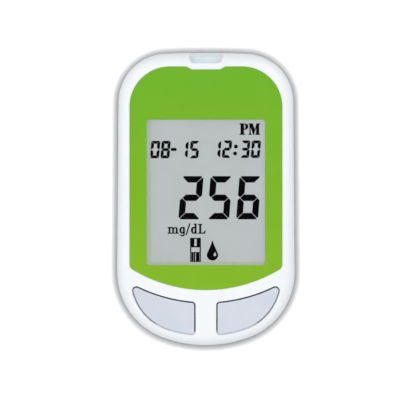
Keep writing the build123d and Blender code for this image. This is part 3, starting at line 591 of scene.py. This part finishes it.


# ---- Keys
# Two hard caps, moulded in a pale blue-grey, that lie in their openings with a fine gap all round.
# Painted shade darkens the skirt, flange and side walls under the face, so the gap reads dark;
# painted light makes it paler along the outer gap and palest at its foot.
key_grey = linear(214, 219, 229)
key_drift = linear(210, 216, 226)
skirt_painted_shade_dark = linear(8, 9, 12)
skirt_painted_shade_middle = linear(152, 155, 162)
skirt_painted_light = linear(220, 224, 232)
flange_level = 19.6 * mm
flange_fade = 0.1 * mm
for side, outward in (("left", -1), ("right", 1)):
    low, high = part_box(f"{side}_button")
    key_skin, tree, surface = start_material(
        f"{side} key plastic", IOR=1.53, Coat_Weight=0.1, Coat_Roughness=0.3
    )
    cap = skin(tree, surface, key_grey, key_drift, 120.0, 3200.0, 0.36, 0.48, 0.15)
    # Painted shade in the gap round the key: dark towards the top and inner side, painted light
    # towards the outer side and the foot.
    axes = object_axes(tree)
    from_middle = compute(tree, "SUBTRACT", axes["X"], (low.x + high.x) / 2)
    across = compute(tree, "MULTIPLY", from_middle, outward)
    below = compute(tree, "SUBTRACT", (low.y + high.y) / 2, axes["Y"])
    outer = between(tree, compute(tree, "ADD", across, below), 1 * mm, 4 * mm)
    skirt_painted_shading = mix_colours(tree, outer, skirt_painted_shade_dark, skirt_painted_shade_middle)
    lowest = compute(tree, "ADD", compute(tree, "MULTIPLY", across, 0.2), below)
    painted_light_at_foot = between(tree, lowest, 3.9 * mm, 5.2 * mm)
    skirt_painted_shading = mix_colours(tree, painted_light_at_foot, skirt_painted_shading, skirt_painted_light)
    below_face_painted_shade = between(tree, axes["Z"], flange_level, flange_level - flange_fade)
    turned = place_node(tree, "ShaderNodeTexCoord").outputs["Normal"]
    upward = place_node(tree, "ShaderNodeSeparateXYZ", {0: turned}).outputs["Z"]
    wall = between(tree, upward, 0.72, 0.5)
    painted_shade_mask = compute(tree, "MAXIMUM", below_face_painted_shade, wall)
    feed(tree, surface["Base Color"], mix_colours(tree, painted_shade_mask, cap, skirt_painted_shading))
    dress(key_skin, f"{side}_button")


# ---- Keypad under the keys
# Milky silicone domes spring the keys back; each carries a black conductive pill that closes the
# gold pads on the board.  The sheet round them is of the same silicone.
silicone, tree, surface = start_material("milky silicone", IOR=1.41, Subsurface_Weight=0.15)
surface["Subsurface Radius"].default_value = (0.8 * mm, 0.8 * mm, 0.8 * mm)
skin(tree, surface, linear(214, 219, 222), linear(206, 212, 216), 160.0, 2800.0, 0.45, 0.6, 0.2)
dress(silicone, "keypad_mat")

pill_rubber, tree, surface = start_material("conductive rubber", IOR=1.45)
skin(tree, surface, linear(28, 28, 30), linear(40, 40, 42), 900.0, 5000.0, 0.6, 0.8, 0.3)
dress(pill_rubber, "left_contact_pill", "right_contact_pill")

dome_low, dome_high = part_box("right_dome")
dome_skin = 0.4 * mm
dome_rings = ((0.4, 3.8), (0.12, 3.68), (0.5, 3.2), (0.45, 2.85), (0.17, 2.62), (0.06, 2.4))
crown_inset = 0.6 * mm


def spring_dome(name, x, y):
    """Silicone dome: a ring drawn up and in to its crown, closed, and given its wall.

    Each dome ring is (rise above the last one, radius), in millimetres.
    """
    foot_radius = (dome_high.x - dome_low.x) / 2
    bpy.ops.object.select_all(action="DESELECT")
    bpy.ops.mesh.primitive_circle_add(vertices=48, radius=foot_radius, location=(x, y, dome_low.z))
    piece = bpy.context.object
    piece.name = name
    bpy.ops.object.mode_set(mode="EDIT")
    bpy.ops.mesh.select_all(action="SELECT")
    radius = foot_radius
    for rise, ring in dome_rings:
        bpy.ops.mesh.extrude_edges_move(TRANSFORM_OT_translate={"value": (0, 0, rise * mm)})
        share = ring * mm / radius
        bpy.ops.transform.resize(value=(share, share, 1), center_override=(x, y, 0))
        radius = ring * mm
    bpy.ops.mesh.edge_face_add()
    bpy.ops.mesh.inset(thickness=crown_inset)
    bpy.ops.mesh.select_all(action="SELECT")
    bpy.ops.mesh.normals_make_consistent(inside=False)
    bpy.ops.object.mode_set(mode="OBJECT")
    wall = piece.modifiers.new("wall", "SOLIDIFY")
    wall.thickness = dome_skin
    wall.offset = -1.0
    bpy.ops.object.modifier_apply(modifier="wall")
    bpy.ops.object.shade_smooth_by_angle(angle=radians(50))
    bpy.ops.object.transform_apply(location=True, rotation=True, scale=True)
    piece.data.materials.append(silicone)
    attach(piece, "case")
    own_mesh(piece)
    return piece


for side in ("left", "right"):
    low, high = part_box(f"{side}_dome")
    dome = spring_dome(
        f"{side}_dome_skin", (low.x + high.x) / 2, (low.y + high.y) / 2
    )
    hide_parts(f"{side}_dome")


# ---- Strip port
# A pale blue-green translucent piece set into the upper end, with a flared slot that leads the test
# strip to four gilded spring contacts in a cream housing on the board.
port_low, port_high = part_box("strip_port_bezel")
port_skin, tree, surface = start_material(
    "translucent port plastic", IOR=1.5, Coat_Weight=0.3, Coat_Roughness=0.1
)
# Painted shade: the piece is painted darker towards its sides and inner edge and darkest at its
# lower corners, as shade in a hollow; painted light brightens it towards the end face.
axes = object_axes(tree)
side_painted_shade = between(tree, compute(tree, "ABSOLUTE", axes["X"]), 2.6 * mm, 4.8 * mm)
inner_painted_shade = between(tree, axes["Y"], port_low.y + 1.4 * mm, port_low.y + 1.0 * mm)
end_painted_light = between(tree, axes["Y"], port_high.y - 1.6 * mm, port_high.y - 0.4 * mm)
painted_hollow_shade = compute(tree, "MAXIMUM", side_painted_shade, inner_painted_shade)
port_colour_with_painted_shade = mix_colours(tree, painted_hollow_shade, linear(220, 231, 234), linear(206, 218, 222))
low_painted_shade = between(tree, axes["Y"], port_low.y + 2.2 * mm, port_low.y + 0.8 * mm)
corner_painted_shade = compute(tree, "MULTIPLY", side_painted_shade, low_painted_shade)
port_colour_with_painted_shade = mix_colours(tree, corner_painted_shade, port_colour_with_painted_shade, linear(188, 204, 209))
port_colour_with_painted_shade = mix_colours(tree, end_painted_light, port_colour_with_painted_shade, linear(230, 238, 242))
port_drift = mix_colours(tree, 0.5, port_colour_with_painted_shade, linear(214, 228, 232))
skin(tree, surface, port_colour_with_painted_shade, port_drift, 200.0, 2600.0, 0.2, 0.3, 0.05)
dress(port_skin, "strip_port_bezel")

housing_skin, tree, surface = start_material("connector plastic", IOR=1.55)
skin(tree, surface, linear(236, 232, 216), linear(230, 226, 208), 260.0, 3600.0, 0.5, 0.62, 0.2)
dress(housing_skin, "strip_connector_housing")

metal_skin, given, result = start_group(
    "drawn metal",
    (
        ("Colour", "NodeSocketColor", white),
        ("Tarnish", "NodeSocketColor", white),
        ("Stretch", "NodeSocketVector", (1.0, 1.0, 1.0)),
        ("Smooth", "NodeSocketFloat", 0.2),
        ("Rough", "NodeSocketFloat", 0.4),
    ),
    (
        ("Colour", "NodeSocketColor"),
        ("Roughness", "NodeSocketFloat"),
        ("Height", "NodeSocketFloat"),
    ),
)
place = place_node(metal_skin, "ShaderNodeTexCoord").outputs["Object"]
drawn = place_node(
    metal_skin, "ShaderNodeMapping", {"Vector": place, "Scale": given["Stretch"]}
).outputs["Vector"]
lines = place_node(
    metal_skin, "ShaderNodeTexNoise", {"Vector": drawn, "Scale": 1.0, "Detail": 3.0}
).outputs["Fac"]
cloud = place_node(
    metal_skin, "ShaderNodeTexNoise", {"Vector": place, "Scale": 350.0, "Detail": 2.0}
).outputs["Fac"]
dull = between(metal_skin, cloud, 0.4, 0.7)
tarnished = mix_colours(metal_skin, dull, given["Colour"], given["Tarnish"])
feed(metal_skin, result["Colour"], tarnished)
worn = between(metal_skin, lines, 0.3, 0.7, given["Smooth"], given["Rough"])
feed(metal_skin, result["Roughness"], worn)
feed(metal_skin, result["Height"], lines)


def drawn_metal(name, colour, tarnish, stretch, smooth, rough):
    """Metal whose fine drawing lines run across the larger numbers of its stretch."""
    material, tree, surface = start_material(name, Metallic=1.0)
    made = place_node(tree, "ShaderNodeGroup", node_tree=metal_skin)
    for label, value in (
        ("Colour", colour), ("Tarnish", tarnish), ("Stretch", stretch),
        ("Smooth", smooth), ("Rough", rough),
    ):
        feed(tree, made.inputs[label], value)
    feed(tree, surface["Base Color"], made.outputs["Colour"])
    feed(tree, surface["Roughness"], made.outputs["Roughness"])
    bump = place_node(
        tree, "ShaderNodeBump",
        {"Height": made.outputs["Height"], "Strength": 0.1, "Distance": 0.01 * mm},
    )
    feed(tree, surface["Normal"], bump.outputs["Normal"])
    return material


gilding = drawn_metal(
    "gilded contact", linear(232, 190, 98), linear(206, 160, 74), (9000.0, 600.0, 600.0), 0.18, 0.3
)
dress(gilding, "strip_contacts", "key_pads")


# ---- Main board
# Glass-fibre board under green solder mask, screwed to the front casing from behind.  Copper tracks
# stand out faintly under the mask, lengthwise in some patches and crosswise in others.
board_mask, tree, surface = start_material("green solder mask", IOR=1.5, Coat_Weight=0.4)
axes = object_axes(tree)
track_pitch = 0.9 * mm
track_share = 0.42
place = place_node(tree, "ShaderNodeTexCoord").outputs["Object"]
region = place_node(
    tree, "ShaderNodeTexVoronoi", {"Vector": place, "Scale": 110.0}, feature="F1"
).outputs["Color"]
turn = place_node(tree, "ShaderNodeSeparateColor", {0: region}).outputs[0]
across = compute(tree, "FRACT", compute(tree, "DIVIDE", axes["X"], track_pitch))
along = compute(tree, "FRACT", compute(tree, "DIVIDE", axes["Y"], track_pitch))
crosswise = compute(tree, "GREATER_THAN", turn, 0.5)
track_x = compute(tree, "LESS_THAN", across, track_share)
track_y = compute(tree, "LESS_THAN", along, track_share)
track = compute(
    tree, "ADD",
    compute(tree, "MULTIPLY", track_x, crosswise),
    compute(tree, "MULTIPLY", track_y, compute(tree, "SUBTRACT", 1.0, crosswise)),
)
mask_green = mix_colours(tree, track, linear(18, 84, 50), linear(34, 116, 66))
mask_drift = mix_colours(tree, 0.2, mask_green, linear(10, 60, 36))
skin(tree, surface, mask_green, mask_drift, 90.0, 2500.0, 0.25, 0.38, 0.1)
dress(board_mask, "main_board")


# ---- Chips under the board
# Black epoxy packages with tinned legs along their sides, soldered on.
epoxy_black = linear(38, 38, 40)
epoxy_drift = linear(30, 30, 32)


def package(name, node_name, legs):
    """Epoxy body with tinned legs, which are what stands out past the body's sides."""
    low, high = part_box(node_name)
    centre_x = (low.x + high.x) / 2
    centre_y = (low.y + high.y) / 2
    material, tree, surface = start_material(name, IOR=1.55)
    axes = object_axes(tree)
    out_x = compute(tree, "ABSOLUTE", compute(tree, "SUBTRACT", axes["X"], centre_x))
    out_y = compute(tree, "ABSOLUTE", compute(tree, "SUBTRACT", axes["Y"], centre_y))
    past_x = compute(tree, "GREATER_THAN", out_x, (high.x - low.x) / 2 - legs[0])
    past_y = compute(tree, "GREATER_THAN", out_y, (high.y - low.y) / 2 - legs[1])
    tinned = compute(tree, "MAXIMUM", past_x, past_y)
    epoxy = skin(tree, surface, epoxy_black, epoxy_drift, 500.0, 5000.0, 0.5, 0.65, 0.3)
    feed(tree, surface["Base Color"], mix_colours(tree, tinned, epoxy, linear(206, 206, 208)))
    feed(tree, surface["Metallic"], tinned)
    feed(tree, surface["Roughness"], between(tree, tinned, 0.0, 1.0, 0.55, 0.3))
    dress(material, node_name)


leg_length = 0.88 * mm
no_leg = -1.0 * mm
package("controller package", "microcontroller", (leg_length, leg_length))
package("amplifier package", "analog_front_end", (leg_length, no_leg))
package("memory package", "memory_chip", (leg_length, no_leg))


# ---- Small parts under the board
# Steel-canned crystal and capacitor, a black piezo beeper with one sound hole, fired ceramic chips
# with tinned ends, and a temperature sensor beside the strip socket.
can_metal = drawn_metal(
    "drawn steel can", linear(200, 202, 205), linear(176, 178, 182),
    (500.0, 5000.0, 500.0), 0.2, 0.34,
)
dress(can_metal, "crystal")

capacitor_base = 0.7 * mm
capacitor_base_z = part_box("supply_capacitor")[1].z - capacitor_base
capacitor_skin, tree, surface = start_material("capacitor can", IOR=1.5)
in_base = compute(tree, "GREATER_THAN", object_axes(tree)["Z"], capacitor_base_z)
can_grey = linear(198, 200, 204)
can_drift = linear(184, 187, 192)
can_colour = skin(tree, surface, can_grey, can_drift, 400.0, 2500.0, 0.25, 0.35, 0.1)
feed(tree, surface["Base Color"], mix_colours(tree, in_base, can_colour, linear(34, 34, 36)))
feed(tree, surface["Metallic"], compute(tree, "SUBTRACT", 1.0, in_base))
dress(capacitor_skin, "supply_capacitor")

beeper_skin, tree, surface = start_material("beeper shell", IOR=1.5)
skin(tree, surface, linear(32, 32, 34), linear(26, 26, 28), 300.0, 3800.0, 0.4, 0.55, 0.25)
dress(beeper_skin, "beeper")

tinned_end = 0.35 * mm


def ceramic_chips(name, body_colour, drift_colour, length, *nodes):
    """Fired chips with tinned ends; the ends are told apart by their place across the row."""
    material, tree, surface = start_material(name, IOR=1.6)
    low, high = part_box(nodes[0])
    centre = (low.x + high.x) / 2
    out = compute(tree, "ABSOLUTE", compute(tree, "SUBTRACT", object_axes(tree)["X"], centre))
    tinned = compute(tree, "GREATER_THAN", out, length / 2 - tinned_end)
    fired = skin(tree, surface, body_colour, drift_colour, 900.0, 6000.0, 0.4, 0.55, 0.2)
    feed(tree, surface["Base Color"], mix_colours(tree, tinned, fired, linear(208, 208, 206)))
    feed(tree, surface["Metallic"], tinned)
    for node_name in nodes:
        dress(material, node_name)


chip_length = 1.6 * mm
thermistor_length = 1.3 * mm
ceramic_chips(
    "fired capacitor chips", linear(168, 142, 108), linear(150, 124, 92),
    chip_length, "chip_capacitors",
)
ceramic_chips(
    "resistor chips", linear(36, 36, 40), linear(48, 48, 52), chip_length, "chip_resistors"
)
ceramic_chips(
    "thermistor chip", linear(88, 84, 78), linear(74, 70, 66), thermistor_length, "thermistor"
)


# ---- Cells
# Two AAA cells in a shrunk printed sleeve, blue with a silver band at the plus end; the steel ends
# and the plus nub are bare.
sleeve_blue = linear(38, 84, 150)
sleeve_silver = linear(200, 204, 210)
cell_steel = linear(206, 206, 208)
nub_radius = 2.3 * mm
band_length = 11.0 * mm
band_fade = 0.1 * mm


def dress_cell(name, plus_side):
    """Sleeve, band and bare ends of one cell; plus_side is the way its plus end points along Y."""
    low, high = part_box(name)
    axis_x = (low.x + high.x) / 2
    axis_z = (low.z + high.z) / 2
    plus_end = high.y if plus_side > 0 else low.y
    material, tree, surface = start_material(f"{name} sleeve", IOR=1.5, Coat_Weight=0.5)
    axes = object_axes(tree)
    from_plus = compute(tree, "ABSOLUTE", compute(tree, "SUBTRACT", axes["Y"], plus_end))
    band = between(tree, from_plus, band_length + band_fade, band_length)
    normal = place_node(tree, "ShaderNodeTexCoord").outputs["Normal"]
    facing = place_node(tree, "ShaderNodeSeparateXYZ", {0: normal}).outputs["Y"]
    end_face = compute(tree, "GREATER_THAN", compute(tree, "ABSOLUTE", facing), 0.8)
    out_x = compute(tree, "SUBTRACT", axes["X"], axis_x)
    out_z = compute(tree, "SUBTRACT", axes["Z"], axis_z)
    squared_x = compute(tree, "POWER", out_x, 2.0)
    squared_z = compute(tree, "POWER", out_z, 2.0)
    squared = compute(tree, "ADD", squared_x, squared_z)
    nub = compute(tree, "LESS_THAN", squared, nub_radius ** 2)
    bare = compute(tree, "MAXIMUM", end_face, nub)
    printed = mix_colours(tree, band, sleeve_blue, sleeve_silver)
    print_shade = mix_colours(tree, 0.1, printed, linear(20, 40, 80))
    sleeve = skin(tree, surface, printed, print_shade, 80.0, 1800.0, 0.22, 0.32, 0.1)
    feed(tree, surface["Base Color"], mix_colours(tree, bare, sleeve, cell_steel))
    silvered = compute(tree, "MULTIPLY", band, 0.8)
    feed(tree, surface["Metallic"], compute(tree, "MAXIMUM", bare, silvered))
    dress(material, name)


dress_cell("battery_left", 1)
dress_cell("battery_right", -1)


# ---- Battery contacts and screws
# Nickel-plated spring steel plates and coils, and zinc-plated pan-head screws with cross recesses.
plated = drawn_metal(
    "nickel plating", linear(206, 203, 196), linear(184, 180, 172),
    (700.0, 700.0, 6000.0), 0.2, 0.34,
)
dress(plated, "positive_contact", "negative_contact", "bridge_contact", "contact_springs")

zinc = drawn_metal(
    "zinc plating", linear(178, 180, 184), linear(150, 152, 158),
    (2500.0, 2500.0, 2500.0), 0.28, 0.42,
)
dress(zinc, "case_screws", "board_screws")


# ---- Setting: floor, lamps and camera
# A white table, seen from straight above.  A broad soft box hangs over the meter, so that the shade
# it casts round it is narrow; a pale room and two weaker lamps fill in from the sides.  A narrow
# contact shade round the meter is also painted into the floor's colour and glow.
floor_size = 6.0
floor_drop = 0.02 * mm
shade_reach = 4 * mm
deepest_shade = 0.45
bpy.ops.object.select_all(action="DESELECT")
bpy.ops.mesh.primitive_plane_add(size=floor_size, location=(0, 0, -floor_drop))
floor = bpy.context.object
floor.name = "floor"
bpy.ops.object.transform_apply(location=True, rotation=True, scale=True)
paper, tree, surface = start_material("white paper", Roughness=0.9, Specular_IOR_Level=0.1)
path = place_node(tree, "ShaderNodeLightPath").outputs
seen = compute(tree, "MAXIMUM", path["Is Camera Ray"], path["Is Glossy Ray"])
seen = compute(tree, "MAXIMUM", seen, path["Is Transmission Ray"])
fibres = place_node(
    tree, "ShaderNodeTexNoise",
    {"Vector": place_node(tree, "ShaderNodeTexCoord").outputs["Object"], "Scale": 900.0},
).outputs["Fac"]
sheet = mix_colours(tree, fibres, linear(250, 250, 250), linear(253, 253, 253))
# Painted shade: ambient occlusion darkens the floor's colour and glow right next to the meter,
# never below the deepest share.
contact_shade = place_node(tree, "ShaderNodeAmbientOcclusion", {"Distance": shade_reach})
contact_shade.samples = 16
open_share = compute(tree, "POWER", contact_shade.outputs["AO"], 1.6)
open_share = compute(tree, "MAXIMUM", open_share, deepest_shade)
feed(tree, surface["Base Color"], mix_colours(tree, open_share, linear(0, 0, 0), sheet))
surface["Emission Color"].default_value = white
glow = compute(tree, "MULTIPLY", seen, 0.08)
feed(tree, surface["Emission Strength"], compute(tree, "MULTIPLY", glow, open_share))
floor.data.materials.append(paper)

sky = bpy.data.worlds.new("studio")
bpy.context.scene.world = sky
sky.use_nodes = True
sky_tree = sky.node_tree
sky_path = place_node(sky_tree, "ShaderNodeLightPath").outputs
background = sky_tree.nodes["Background"]
background.inputs["Color"].default_value = (0.97, 0.98, 1.0, 1.0)
room_light = 0.22
seen = compute(sky_tree, "MAXIMUM", sky_path["Is Camera Ray"], sky_path["Is Glossy Ray"])
seen = compute(sky_tree, "MAXIMUM", seen, sky_path["Is Transmission Ray"])
strength = between(sky_tree, seen, 0.0, 1.0, room_light, 1.0, "LINEAR")
feed(sky_tree, background.inputs["Strength"], strength)


lamp_target = (0, 0, 0.01)


def soft_lamp(name, place, size, power, colour, mirrored=True):
    """Square soft box that points at the meter and stays out of sight."""
    bpy.ops.object.light_add(type="AREA", location=place)
    lamp = bpy.context.object
    lamp.name = name
    lamp.data.size = size
    lamp.data.energy = power
    lamp.data.color = colour
    lamp.visible_camera = False
    lamp.visible_glossy = mirrored
    aim = Vector(lamp_target) - Vector(place)
    lamp.rotation_euler = aim.to_track_quat("-Z", "Y").to_euler()


soft_lamp("overhead_light", (0.0, 0.005, 2.0), 0.46, 26.5, (1.0, 1.0, 1.0), mirrored=False)
soft_lamp("key_light", (0.45, 0.5, 0.85), 0.4, 1.0, (1.0, 0.995, 0.985))
soft_lamp("fill_light", (-0.6, -0.15, 0.55), 0.5, 0.6, (0.93, 0.95, 1.0))

view_height = 124.8 * mm
view_centre = (-1.84 * mm, -0.32 * mm)
lens_length = 1000.0
sensor_width = 36.0
widest_z = 10 * mm
camera_distance = view_height * lens_length / sensor_width
bpy.ops.object.camera_add(location=(*view_centre, widest_z + camera_distance))
camera = bpy.context.object
camera.name = "camera"
camera.data.lens = lens_length
camera.data.sensor_width = sensor_width
camera.data.clip_start = 0.01
camera.data.clip_end = 100.0
bpy.context.scene.camera = camera
bpy.context.scene.view_settings.view_transform = "Standard"
